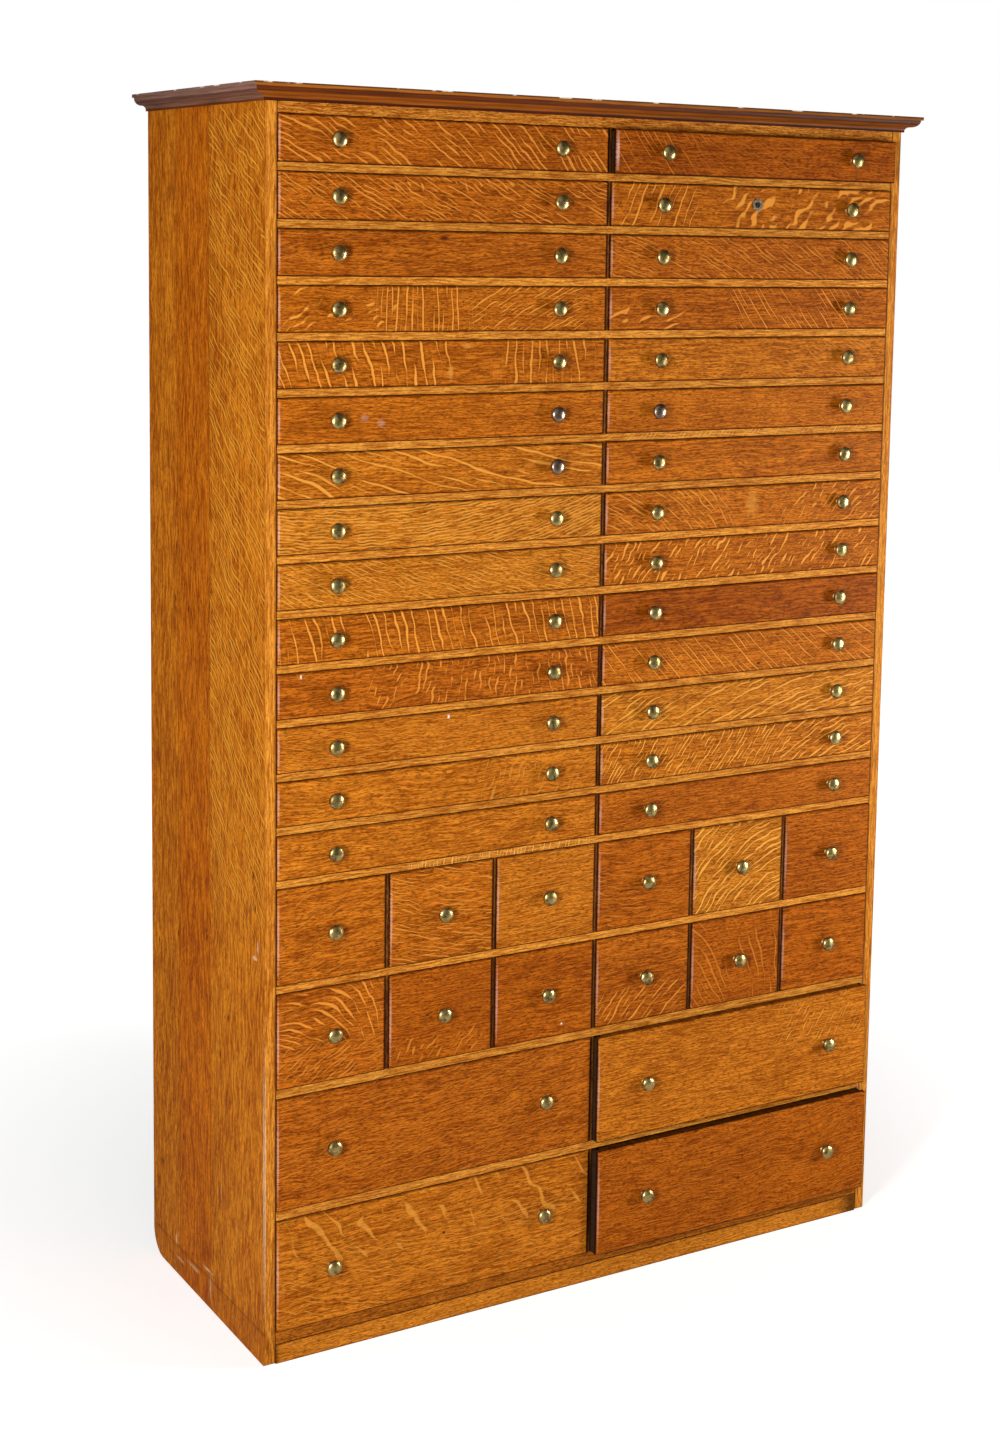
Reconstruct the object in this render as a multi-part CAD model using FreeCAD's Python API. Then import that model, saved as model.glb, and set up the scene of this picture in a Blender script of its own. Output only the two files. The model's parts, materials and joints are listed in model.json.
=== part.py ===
import FreeCAD, Part
import math
import os

from FreeCAD import Vector

# A tall oak haberdashery cabinet: fourteen rows of thin drawers in pairs, two rows of six small
# drawers, two rows of deep drawers in pairs, a stained cornice and a low plinth.
# Millimetres. X runs along the front, Y from front to back, Z up from the floor. The origin is on
# the floor, under the middle of everything that the cabinet and its open drawers reach.

# Carcase
carcase_width = 1094.0
carcase_depth = 440.0
side_thickness = 18.0
heel_radius = 40.0             # rounded lower back corner of each side board
toe_radius = 4.0               # worn lower front corner
plinth_height = 30.0
plinth_thickness = 20.0
bottom_thickness = 18.0
top_thickness = 15.0
back_thickness = 9.0
back_rebate = 9.0              # how far the back boards lap onto each side board
back_board_count = 7
back_tongue_length = 5.0
back_tongue_thickness = 3.0

# Rails, shelves and uprights between the drawers
rail_thickness = 11.0
heavy_rail_thickness = 13.0    # over each row of deep drawers
rail_width = 45.0              # from front to back
housing_depth = 6.0            # how far boards, rails and runners enter the side boards
housing_setback = 10.0         # a housing stops this far behind the front edge
divider_thickness = 7.0
tenon_depth = 3.0              # how far the uprights enter the boards over and under them
runner_width = 24.0            # inside the opening, at each side
centre_runner_width = 60.0
guide_height = 12.0
joint_clearance = 0.1          # round every glued joint and housing

# Rows, counted from the floor up, and drawers to a row
deep_rows = 2
small_rows = 2
thin_rows = 14
deep_opening = 169.0
small_opening = 142.0
thin_opening = 66.0
small_drawers_to_a_row = 6

# Drawers
side_gap = 0.6                 # between a drawer and the upright beside it
top_gap = 1.0
running_gap = 0.3              # between a drawer and the runners under it
stop_gap = 1.0                 # between a closed drawer and the back boards that stop it
front_thickness = 18.0
front_proud = 4.0              # a closed front stands this far out of the rails
front_bevel = 2.5
lap_depth = 9.0                # how far a drawer side laps into the rebate of the front
drawer_side_thickness = 9.0
drawer_side_drop = 3.0         # the sides are this much lower than the front
drawer_back_thickness = 8.0
drawer_back_drop = 6.0         # the back is this much lower than the sides
drawer_bottom_thickness = 4.0
groove_depth = 4.0
groove_height = 6.0            # from the foot of a drawer side to the groove for its bottom
drawers_ajar = {
    "thin_drawer_01_right": 9.0,
    "deep_drawer_1_right": 11.0,
    "deep_drawer_2_right": 16.0,
}

# Knobs: a turned stem, a flare, and a crown that closes in two steps
knob_radius = 12.0
knob_stem_radius = 4.8
knob_stem_length = 7.5
knob_rim_height = 11.0
knob_crown_radius = 9.6
knob_crown_height = 15.0
knob_top_radius = 5.0
knob_top_height = 17.0
knob_flats = 8                 # flats round each knob
knob_inset = 85.0              # from the end of a wide drawer to the middle of its knob

# Cornice
cornice_height = 24.0
cornice_overhang = 25.0
cornice_lap = 25.0             # how much of the moulding lies on the carcase
cornice_top_fillet = 5.0
cornice_quirk = 3.0            # step in under the top fillet
cornice_ovolo = 11.0           # radius of the swelling under the quirk
cornice_step = 1.5
cornice_cavetto = 6.0          # radius of the hollow above the carcase

# Glue blocks behind the plinth
block_count = 4
block_size = 24.0

# Lock in the second thin drawer on the right
lock_drawer = "thin_drawer_02_right"
lock_rise = 4.5                # the middle of the lock above the middle of the front
lock_ring_radius = 9.5
lock_ring_proud = 1.5
plug_radius = 4.5
plug_proud = 0.4
key_slot_width = 1.2
key_slot_height = 5.0
key_slot_depth = 6.0
lock_case_width = 28.0
lock_case_drop = 13.0          # the case below the middle of the lock
lock_case_rise = 16.0          # and above it
case_setback = 7.0             # from the face of the drawer to the case
bolt_setback = 9.0             # from the face of the drawer to the bolt
bolt_thickness = 4.0
bolt_width = 10.0
bolt_throw = 5.0
bolt_tail = 2.0                # the bolt below the middle of the lock
bolt_recess = 0.5              # the drawn bolt under the top edge of the front
lock_clearance = 0.3

# Worked out from the sizes above
knob_reach = knob_top_height + front_proud + max(drawers_ajar.values())
front_y = (knob_reach - carcase_depth) / 2
back_y = front_y + carcase_depth
back_inner = back_y - back_thickness
rail_back = front_y + rail_width
half_width = carcase_width / 2
half_inside = half_width - side_thickness
bottom_top = plinth_height + bottom_thickness
past = 1.0                     # cutting bodies run this far past what they cut


def block(x, y, z):
    """A rectangular board from (low, high) pairs."""
    return Part.makeBox(x[1] - x[0], y[1] - y[0], z[1] - z[0], Vector(x[0], y[0], z[0]))


def grown(span, by):
    return (span[0] - by, span[1] + by)


def about(middle, size):
    return (middle - size / 2, middle + size / 2)


def opening_of(kind):
    return {"deep": deep_opening, "small": small_opening, "thin": thin_opening}[kind]


def drawers_to_a_row(kind):
    return small_drawers_to_a_row if kind == "small" else 2


def stack_rows():
    """Rows of drawers from the floor up, and the boards and rails over and under them."""
    kinds = ["deep"] * deep_rows + ["small"] * small_rows + ["thin"] * thin_rows
    level = bottom_top
    rows = []
    members = [{"foot": plinth_height, "head": level, "use": "bottom"}]
    for place, kind in enumerate(kinds):
        above = kinds[place + 1] if place + 1 < len(kinds) else None
        rows.append({
            "kind": kind,
            "number": kinds[place:].count(kind),
            "floor": level,
            "ceiling": level + opening_of(kind),
        })
        if above is None:
            thickness, use = top_thickness, "rail"
        elif kind == "deep":
            thickness, use = heavy_rail_thickness, "shelf" if above == "small" else "rail"
        else:
            thickness, use = rail_thickness, "shelf" if kind == "small" else "rail"
        foot = level + opening_of(kind)
        members.append({"foot": foot, "head": foot + thickness, "use": use})
        level = foot + thickness
    return rows, members


def cell_width(kind):
    """Width of the opening for one drawer, between the uprights or the sides."""
    count = drawers_to_a_row(kind)
    return (2 * half_inside - (count - 1) * divider_thickness) / count


def upright_positions(kind):
    """Middles of the uprights that part one row of drawers."""
    return [-half_inside + (n + 1) * cell_width(kind) + (n + 0.5) * divider_thickness
            for n in range(drawers_to_a_row(kind) - 1)]


def upright_depth(kind):
    """A post as deep as the rails, or a partition as deep as the carcase."""
    return (front_y, back_inner if kind == "small" else rail_back)


def upright(kind, x, floor, ceiling):
    across = about(x, divider_thickness)
    depth = upright_depth(kind)
    shoulder = (depth[0] + housing_setback, depth[1])
    tongue = tenon_depth - joint_clearance
    return block(across, depth, (floor, ceiling)).fuse([
        block(across, shoulder, (floor - tongue, floor)),
        block(across, shoulder, (ceiling, ceiling + tongue)),
    ]).removeSplitter()


def upright_seats(rows, foot, head):
    """Mortises and grooves that a board needs for the uprights over and under it."""
    seats = []
    for row in rows:
        if abs(row["floor"] - head) < joint_clearance:
            z = (head - tenon_depth, head + past)
        elif abs(row["ceiling"] - foot) < joint_clearance:
            z = (foot - past, foot + tenon_depth)
        else:
            continue
        depth = upright_depth(row["kind"])
        y = (depth[0] + housing_setback - joint_clearance, depth[1] + past)
        for x in upright_positions(row["kind"]):
            seats.append(block(grown(about(x, divider_thickness), joint_clearance), y, z))
    return seats


def housed_board(y, z):
    """A board between the sides whose ends enter their stopped housings."""
    face = half_inside - joint_clearance
    tongue = half_inside + housing_depth - joint_clearance
    start = front_y + housing_setback + joint_clearance
    if y[0] >= start:
        return block((-tongue, tongue), y, z)
    return block((-face, face), y, z).fuse(block((-tongue, tongue), (start, y[1]), z)).removeSplitter()


def side_profile():
    """Outline of a side board, with its worn toe and its rounded heel."""
    top = carcase_height
    slant = math.sqrt(0.5)
    toe = Vector(0, front_y + toe_radius, toe_radius)
    heel = Vector(0, back_y - heel_radius, heel_radius)
    points = [
        Vector(0, front_y, top),
        Vector(0, front_y, toe_radius),
        Vector(0, front_y + toe_radius, 0),
        Vector(0, back_y - heel_radius, 0),
        Vector(0, back_y, heel_radius),
        Vector(0, back_y, top),
    ]
    return Part.Face(Part.Wire([
        Part.makeLine(points[0], points[1]),
        Part.Arc(points[1], toe + Vector(0, -slant, -slant) * toe_radius, points[2]).toShape(),
        Part.makeLine(points[2], points[3]),
        Part.Arc(points[3], heel + Vector(0, slant, -slant) * heel_radius, points[4]).toShape(),
        Part.makeLine(points[4], points[5]),
        Part.makeLine(points[5], points[0]),
    ]))


def side_board(members):
    """The left side: housings for every board, rail and runner, and a rebate for the back."""
    side = side_profile().extrude(Vector(side_thickness, 0, 0))
    side.translate(Vector(-half_width, 0, 0))
    inner = -half_inside
    cuts = [block((inner - back_rebate, inner + past), (back_inner, back_y + past),
                  (-past, carcase_height + past))]
    for member in members:
        cuts.append(block(
            (inner - housing_depth, inner + past),
            (front_y + housing_setback, back_inner + past),
            grown((member["foot"], member["head"]), joint_clearance),
        ))
    return side.cut(cuts)


def mirrored(shape):
    return shape.mirror(Vector(0, 0, 0), Vector(1, 0, 0))


def back_boards():
    """Upright boards, each with a tongue on its right edge and a groove in its left edge."""
    reach = half_inside + back_rebate - joint_clearance
    width = 2 * reach / back_board_count
    z = (plinth_height, carcase_height)
    middle = about(back_y - back_thickness / 2, back_tongue_thickness)
    boards = []
    for n in range(back_board_count):
        x = (-reach + n * width, -reach + (n + 1) * width)
        board = block((x[0] + joint_clearance, x[1]), (back_inner + joint_clearance, back_y), z)
        if n > 0:
            groove = (x[0] - past, x[0] + back_tongue_length + joint_clearance)
            board = board.cut(block(groove, grown(middle, joint_clearance), grown(z, past)))
        if n < back_board_count - 1:
            tongue = (x[1], x[1] + back_tongue_length)
            board = board.fuse(block(tongue, middle, z)).removeSplitter()
        boards.append(board)
    return boards


def runners(members):
    """Two side runners and a centre runner behind every rail that carries drawers."""
    pieces = []
    y = (rail_back + joint_clearance, back_inner)
    for member in members[1:-1]:
        if member["use"] != "rail":
            continue
        z = (member["foot"], member["head"])
        outer = half_inside + housing_depth - joint_clearance
        inner = half_inside - runner_width
        pieces.append(block((-outer, -inner), y, z))
        pieces.append(block(about(0, centre_runner_width), y, z))
        pieces.append(block((inner, outer), y, z))
    return pieces


def cornice_profile():
    """Section of the moulding: u runs out from the carcase face, z up from its foot."""
    ovolo_top = cornice_height - cornice_top_fillet
    ovolo_out = cornice_overhang - cornice_quirk
    ovolo_foot = ovolo_top - cornice_ovolo
    ovolo_in = ovolo_out - cornice_ovolo
    hollow_out = ovolo_in - cornice_step
    hollow_in = hollow_out - cornice_cavetto
    hollow_foot = ovolo_foot - cornice_cavetto
    slant = math.sqrt(0.5)

    def at(u, z):
        return Vector(0, -u, z)

    corner = [
        at(-cornice_lap, 0), at(-cornice_lap, cornice_height),
        at(cornice_overhang, cornice_height), at(cornice_overhang, ovolo_top),
        at(ovolo_out, ovolo_top), at(ovolo_in, ovolo_foot),
        at(hollow_out, ovolo_foot), at(hollow_in, hollow_foot), at(hollow_in, 0),
    ]
    swell = at(ovolo_in + cornice_ovolo * slant, ovolo_top - cornice_ovolo * slant)
    hollow = at(hollow_in + cornice_cavetto * (1 - slant), ovolo_foot - cornice_cavetto * (1 - slant))
    edges = [Part.makeLine(corner[n], corner[n + 1]) for n in (0, 1, 2, 3)]
    edges.append(Part.Arc(corner[4], swell, corner[5]).toShape())
    edges.append(Part.makeLine(corner[5], corner[6]))
    edges.append(Part.Arc(corner[6], hollow, corner[7]).toShape())
    edges.append(Part.makeLine(corner[7], corner[8]))
    edges.append(Part.makeLine(corner[8], corner[0]))
    return Part.Face(Part.Wire(edges))


def plan_prism(points):
    """A prism over a plan outline, as tall as the cornice, to cut its mitres."""
    foot = carcase_height - past
    corners = [Vector(x, y, foot) for x, y in points]
    outline = Part.makePolygon(corners + corners[:1])
    return Part.Face(outline).extrude(Vector(0, 0, cornice_height + 2 * past))


def cornice():
    """A front length and two side lengths, mitred at the front corners."""
    out_x = half_width + cornice_overhang
    out_y = front_y - cornice_overhang
    in_x = half_width - cornice_lap
    in_y = front_y + cornice_lap
    front = cornice_profile().extrude(Vector(2 * out_x, 0, 0))
    front.translate(Vector(-out_x, front_y, carcase_height))
    front = front.common(plan_prism([
        (-out_x, out_y), (out_x, out_y), (in_x, in_y), (-in_x, in_y),
    ]))
    left = cornice_profile().extrude(Vector(back_y - out_y, 0, 0))
    left.rotate(Vector(0, 0, 0), Vector(0, 0, 1), -90)
    left.translate(Vector(-half_width, back_y, carcase_height))
    left = left.common(plan_prism([
        (-out_x, out_y + joint_clearance), (-in_x, in_y + joint_clearance),
        (-in_x, back_y), (-out_x, back_y),
    ]))
    return [front, left, mirrored(left)]


def glue_blocks():
    """Blocks in the angle between the plinth and the bottom board."""
    y = front_y + plinth_thickness
    spread = 2 * half_inside - block_size
    blocks = []
    for n in range(block_count):
        x = about(-spread / 2 + n * spread / (block_count - 1), block_size - 2 * joint_clearance)
        foot = plinth_height - block_size
        corners = [Vector(x[0], y, plinth_height), Vector(x[0], y, foot),
                   Vector(x[0], y + block_size, plinth_height)]
        face = Part.Face(Part.makePolygon(corners + corners[:1]))
        blocks.append(face.extrude(Vector(x[1] - x[0], 0, 0)))
    return blocks


def knob():
    """A knob that points towards -Y from the origin, turned in flats."""
    profile = [
        (knob_stem_radius, 0), (knob_stem_radius, knob_stem_length),
        (knob_radius, knob_rim_height), (knob_crown_radius, knob_crown_height),
        (knob_top_radius, knob_top_height),
    ]
    rings = []
    for radius, height in profile:
        ring = []
        for n in range(knob_flats):
            turn = 2 * math.pi * n / knob_flats
            ring.append(Vector(radius * math.cos(turn), -height, radius * math.sin(turn)))
        rings.append(ring)
    faces = [Part.Face(Part.makePolygon(ring + ring[:1])) for ring in (rings[0], rings[-1])]
    for low, high in zip(rings, rings[1:]):
        for n in range(knob_flats):
            after = (n + 1) % knob_flats
            corners = [low[n], low[after], high[after], high[n]]
            faces.append(Part.Face(Part.makePolygon(corners + corners[:1])))
    return Part.makeSolid(Part.makeShell(faces))


def bevelled_front(width, height):
    """A drawer front with its face edges eased, rebated ends and a groove for the bottom."""
    front = block((-width / 2, width / 2), (0, front_thickness), (0, height))
    face_edges = [edge for edge in front.Edges
                  if max(abs(vertex.Y) for vertex in edge.Vertexes) < joint_clearance]
    front = front.makeChamfer(front_bevel, face_edges)
    inside = width / 2 - drawer_side_thickness - joint_clearance
    lap = (front_thickness - lap_depth, front_thickness + past)
    groove = grown((groove_height, groove_height + drawer_bottom_thickness), joint_clearance)
    return front.cut([
        block((inside, width / 2 + past), lap, grown((0, height), past)),
        block((-width / 2 - past, -inside), lap, grown((0, height), past)),
        block((-width / 2, width / 2), (front_thickness - groove_depth, front_thickness + past), groove),
    ])


def drawer_size(kind):
    return cell_width(kind) - 2 * side_gap, opening_of(kind) - top_gap - running_gap


def drawer_pieces(kind):
    """The separate pieces of one drawer, with the foot of its face in the middle at the origin."""
    width, height = drawer_size(kind)
    length = front_proud + carcase_depth - back_thickness - stop_gap
    side_height = height - drawer_side_drop
    groove = grown((groove_height, groove_height + drawer_bottom_thickness), joint_clearance)
    outer = width / 2
    inner = outer - drawer_side_thickness
    side = block((inner, outer), (front_thickness - lap_depth + joint_clearance, length), (0, side_height))
    side = side.cut(block((inner - past, inner + groove_depth), (0, length + past), groove))
    bottom_reach = inner + groove_depth - joint_clearance
    bottom = block(
        (-bottom_reach, bottom_reach),
        (front_thickness - groove_depth + joint_clearance, length),
        (groove_height, groove_height + drawer_bottom_thickness),
    )
    back = block(
        grown((-inner, inner), -joint_clearance),
        (length - drawer_back_thickness, length),
        (groove[1], side_height - drawer_back_drop),
    )
    pieces = [bevelled_front(width, height), side, mirrored(side), back, bottom]
    reach = 0 if kind == "small" else width / 2 - knob_inset
    for x in sorted({-reach, reach}):
        turned = knob()
        turned.translate(Vector(x, 0, height / 2))
        pieces.append(turned)
    return pieces


def row_drawers(row):
    """Name and place of the drawers in one row, from left to right."""
    kind = row["kind"]
    count = drawers_to_a_row(kind)
    pitch = cell_width(kind) + divider_thickness
    for n in range(count):
        x = (n - (count - 1) / 2) * pitch
        if kind == "small":
            name = f"small_drawer_{row['number']}_{n + 1}"
        else:
            digits = 2 if kind == "thin" else 1
            name = f"{kind}_drawer_{row['number']:0{digits}d}_{('left', 'right')[n]}"
        y = front_y - front_proud - drawers_ajar.get(name, 0)
        yield name, Vector(x, y, row["floor"] + running_gap)


def cylinder(radius, y, z):
    return Part.makeCylinder(radius, y[1] - y[0], Vector(0, y[0], z), Vector(0, 1, 0))


def lock_pieces():
    """Case, plug and bolt, set out from the foot of the drawer's face, and the cut they need."""
    height = drawer_size("thin")[1]
    middle = height / 2 + lock_rise
    case_x = about(0, lock_case_width)
    case_y = (case_setback, front_thickness)
    case_z = (middle - lock_case_drop, middle + lock_case_rise)
    bolt_x = about(0, bolt_width)
    bolt_y = (bolt_setback, bolt_setback + bolt_thickness)
    bolt_z = (middle - bolt_tail, height - bolt_recess)
    bolt_way = block(grown(bolt_x, lock_clearance), grown(bolt_y, lock_clearance),
                     (bolt_z[0] - lock_clearance, height + past))
    barrel = cylinder(lock_ring_radius, (-lock_ring_proud, case_setback), middle)
    plug_hole = cylinder(plug_radius + lock_clearance, (-lock_ring_proud - past, bolt_setback), middle)
    case = block(case_x, case_y, case_z).fuse(barrel).cut([bolt_way, plug_hole])
    plug = cylinder(plug_radius, (-lock_ring_proud - plug_proud, bolt_setback - 2 * lock_clearance), middle)
    plug = plug.cut(block(
        about(0, key_slot_width),
        (-lock_ring_proud - past, key_slot_depth - lock_ring_proud),
        about(middle, key_slot_height),
    ))
    bolt = block(bolt_x, bolt_y, bolt_z)
    recess = [
        block(grown(case_x, joint_clearance), (case_y[0] - joint_clearance, case_y[1] + past),
              grown(case_z, joint_clearance)),
        cylinder(lock_ring_radius + joint_clearance, (-past, case_setback), middle),
        bolt_way,
    ]
    return case, plug, bolt, recess


def bolt_seat(place):
    """Mortise that the lock's bolt enters in the rail above when the drawer is shut."""
    foot = place.z - running_gap + thin_opening
    y = front_y - front_proud + bolt_setback
    depth = bolt_throw - bolt_recess - top_gap + lock_clearance
    return block(grown(about(place.x, bolt_width), lock_clearance),
                 grown((y, y + bolt_thickness), lock_clearance),
                 (foot - past, foot + depth))


def placed(pieces, place):
    copies = []
    for piece in pieces:
        copy = piece.copy()
        copy.translate(place)
        copies.append(copy)
    return copies


def build():
    """Every node of the cabinet, as a name and a list of separate solids."""
    places = {name: place for row in rows for name, place in row_drawers(row)}
    side = side_board(members)
    bottom, *between = members
    nodes = {"side_left": [side], "side_right": [mirrored(side)]}

    base = housed_board((front_y, back_inner), (bottom["foot"], bottom["head"]))
    nodes["bottom_board"] = [base.cut(upright_seats(rows, bottom["foot"], bottom["head"]))]
    inside = half_inside - joint_clearance
    plinth = block((-inside, inside), (front_y, front_y + plinth_thickness), (0, plinth_height))
    nodes["plinth"] = [plinth] + glue_blocks()

    nodes["drawer_rails"] = []
    nodes["shelf_boards"] = []
    for member in between:
        deep = back_inner if member["use"] == "shelf" else rail_back
        z = (member["foot"], member["head"])
        board = housed_board((front_y, deep), z).cut(upright_seats(rows, *z))
        if abs(places[lock_drawer].z - running_gap + thin_opening - member["foot"]) < joint_clearance:
            board = board.cut(bolt_seat(places[lock_drawer]))
        nodes["shelf_boards" if member["use"] == "shelf" else "drawer_rails"].append(board)
    top = members[-1]
    nodes["top_board"] = [housed_board((rail_back + joint_clearance, back_inner), (top["foot"], top["head"]))]

    nodes["centre_dividers"] = []
    nodes["small_dividers"] = []
    nodes["drawer_guides"] = []
    for row in rows:
        kind = row["kind"]
        uprights = [upright(kind, x, row["floor"], row["ceiling"]) for x in upright_positions(kind)]
        nodes["small_dividers" if kind == "small" else "centre_dividers"] += uprights
        if kind != "small":
            nodes["drawer_guides"].append(block(
                about(0, divider_thickness), (rail_back + joint_clearance, back_inner),
                (row["floor"], row["floor"] + guide_height)))
    nodes["drawer_runners"] = runners(members)
    nodes["back_boards"] = back_boards()
    nodes["cornice_moulding"] = cornice()

    patterns = {kind: drawer_pieces(kind) for kind in ("thin", "small", "deep")}
    for name, place in places.items():
        nodes[name] = placed(patterns[name.split("_")[0]], place)
    case, plug, bolt, recess = lock_pieces()
    fitted = patterns["thin"][0].cut(recess)
    nodes[lock_drawer] = placed([fitted] + patterns["thin"][1:], places[lock_drawer])
    nodes["lock_case"] = placed([case], places[lock_drawer])
    nodes["lock_plug"] = placed([plug], places[lock_drawer])
    nodes["lock_bolt"] = placed([bolt], places[lock_drawer])
    return nodes


rows, members = stack_rows()
carcase_height = members[-1]["head"]

os.makedirs("parts", exist_ok=True)
for node, solids in build().items():
    shape = solids[0] if len(solids) == 1 else Part.makeCompound(solids)
    shape.exportStep(f"parts/{node}.step")
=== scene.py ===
import json
import math
import random

import bmesh
import bpy
from mathutils import Matrix, Vector

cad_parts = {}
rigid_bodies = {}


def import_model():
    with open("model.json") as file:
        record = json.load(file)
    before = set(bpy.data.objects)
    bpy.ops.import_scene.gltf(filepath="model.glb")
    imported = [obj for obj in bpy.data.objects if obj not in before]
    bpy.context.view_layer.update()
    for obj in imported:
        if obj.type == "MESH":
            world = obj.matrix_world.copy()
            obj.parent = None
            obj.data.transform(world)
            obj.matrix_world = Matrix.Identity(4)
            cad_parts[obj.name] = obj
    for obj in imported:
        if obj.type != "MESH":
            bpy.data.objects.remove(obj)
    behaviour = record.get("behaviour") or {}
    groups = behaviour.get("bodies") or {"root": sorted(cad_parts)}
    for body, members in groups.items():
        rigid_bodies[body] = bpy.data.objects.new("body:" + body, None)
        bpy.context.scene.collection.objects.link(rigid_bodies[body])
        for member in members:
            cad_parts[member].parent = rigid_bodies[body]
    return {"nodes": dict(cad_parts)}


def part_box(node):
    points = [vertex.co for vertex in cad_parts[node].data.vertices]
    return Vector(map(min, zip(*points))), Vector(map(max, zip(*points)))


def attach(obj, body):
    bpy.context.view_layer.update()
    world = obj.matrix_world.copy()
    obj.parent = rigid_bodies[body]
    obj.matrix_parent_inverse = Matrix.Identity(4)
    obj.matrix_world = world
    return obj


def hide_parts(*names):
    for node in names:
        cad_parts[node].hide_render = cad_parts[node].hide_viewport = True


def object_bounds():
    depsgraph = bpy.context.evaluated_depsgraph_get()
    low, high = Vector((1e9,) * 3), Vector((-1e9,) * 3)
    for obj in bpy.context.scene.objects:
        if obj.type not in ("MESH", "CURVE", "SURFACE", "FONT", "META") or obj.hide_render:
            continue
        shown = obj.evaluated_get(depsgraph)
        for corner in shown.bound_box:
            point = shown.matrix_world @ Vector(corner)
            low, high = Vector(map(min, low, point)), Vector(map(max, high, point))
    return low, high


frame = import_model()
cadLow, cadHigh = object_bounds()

random.seed(1892)
mm = 0.001
inScene = bpy.context.scene.collection.objects
print("frame loaded:", len(frame["nodes"]), "nodes")


def hexColour(text):
    # an sRGB hex value, turned linear
    parts = [int(text[n:n + 2], 16) / 255 for n in (1, 3, 5)]
    return tuple(c / 12.92 if c <= 0.04045 else ((c + 0.055) / 1.055) ** 2.4 for c in parts) + (1.0,)


def addNode(tree, kind, inputs=None, **settings):
    # inputs are values, sockets or nodes, by the socket's number or name
    made = tree.nodes.new("ShaderNode" + kind)
    for key, value in settings.items():
        setattr(made, key, value)
    for key, value in (inputs or {}).items():
        if isinstance(value, bpy.types.Node):
            value = value.outputs[0]
        if isinstance(value, bpy.types.NodeSocket):
            tree.links.new(value, made.inputs[key])
        else:
            made.inputs[key].default_value = value
    return made


def newMaterial(name):
    made = bpy.data.materials.new(name)
    made.use_nodes = True
    made.node_tree.nodes.clear()
    return made, made.node_tree


def finishMaterial(tree, inputs, height, bump, depth):
    # the surface: a Principled shader over a relief, whose depth is in mm
    inputs["Normal"] = addNode(tree, "Bump", {"Strength": bump, "Distance": depth * mm, "Height": height})
    shader = addNode(tree, "BsdfPrincipled", inputs)
    addNode(tree, "OutputMaterial", {"Surface": shader})


# Quarter-sawn oak. Its rays show as pale lines that slant across a fine dark grain. The old polish
# over it is thin and dry, so it has little gloss and the pores still show as small dents.

oak = {
    "streakLength": 36.0,  # mm along the grain before a streak changes
    "streakWidth": 2.5,
    "poreLength": 7.5,
    "poreWidth": 1.6,      # single pores are 0.3 mm wide; these are the rows that they stand in
    "cloudLength": 240.0,
    "cloudWidth": 40.0,
    "cloudShare": 0.18,    # how much lighter or darker a cloud is than the wood round it
    "layer": 12.0,         # mm into the board before the figure changes
    "wander": 12.0,        # mm that the grain strays from a straight line
    "wanderSize": 90.0,    # over this many mm
    "pores": 0.68,         # how strongly the pores show
    "poreTone": 0.32,      # their colour, as a share of the dark of the ground
    "poreDepth": 0.2,      # mm
    "roughness": 0.45,
    "specular": 0.03,
    "ior": 1.50,
}
boardShift = 4000.0           # mm of the pattern from board to board, from seed to seed and past a joint
seedShift = 313.0
jointShift = 700.0

# tone: the dark and the light of the ground, and the colour of the rays
tones = {
    "light": ("#98500c", "#dc8826", "#eea644"),
    "golden": ("#964b0b", "#d98222", "#eb9f3e"),
    "orange": ("#8e4409", "#d0761b", "#e59538"),
    "mid": ("#873e09", "#c86e19", "#e18d34"),
    "dark": ("#843b08", "#c26815", "#da842c"),
    "deep": ("#7c3607", "#b86013", "#cd7626"),
    "rail": ("#a0520c", "#f2a440", "#f8bc60"),
    "railEdge": ("#3c1a06", "#7a3c10", "#7a3c10"),
    "stile": ("#a2560f", "#e39534", "#eaa850"),
    "post": ("#4c250a", "#945a22", "#945a22"),
    "side": ("#9a4a0b", "#da841e", "#f0aa3a"),
    "topRail": ("#94480c", "#de9236", "#e8a850"),
    "plinth": ("#a05a10", "#de8a2a", "#e89a3c"),
    "base": ("#80400d", "#bf6f1c", "#cb7c2c"),
}
dirtAndShade = "#2e1206"
blackDirtAndShade = "#160702"

# ray: mm from line to line, mm of a line's width, mm of its length, how little of it shows, mm of
# bend, mm of the bend's size, and how unevenly the lines are spaced
rays = {
    "fine": (6.0, 2.1, 34, 0.41, 4, 34, 0.8),
    "thin": (8.5, 1.9, 70, 0.41, 3, 50, 0.6),
    "line": (8.5, 3.0, 46, 0.40, 6, 36, 0.8),
    "wavy": (13, 3.6, 110, 0.38, 8, 70, 0.6),
    "stripe": (13, 3.2, 70, 0.38, 8, 42, 0.5),
    "arc": (8, 2.6, 80, 0.36, 4, 50, 0.5),
    "stroke": (9, 3.6, 26, 0.45, 5, 35, 0.9),
    "bold": (14, 7.5, 34, 0.48, 8, 50, 0.9),
    "ripple": (4.4, 2.2, 26, 0.34, 2.0, 30, 0.7),
    "great": (36, 9.0, 60, 0.42, 18, 70, 0.8),
    "blob": (17, 9.5, 30, 0.42, 10, 40, 0.9),
    "flame": (7.0, 2.6, 60, 0.38, 16, 80, 0.9),
    "blotch": (12, 7.5, 24, 0.52, 5, 35, 0.9),
    "faint": (6.5, 2.0, 32, 0.44, 3, 45, 0.8),
}

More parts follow.
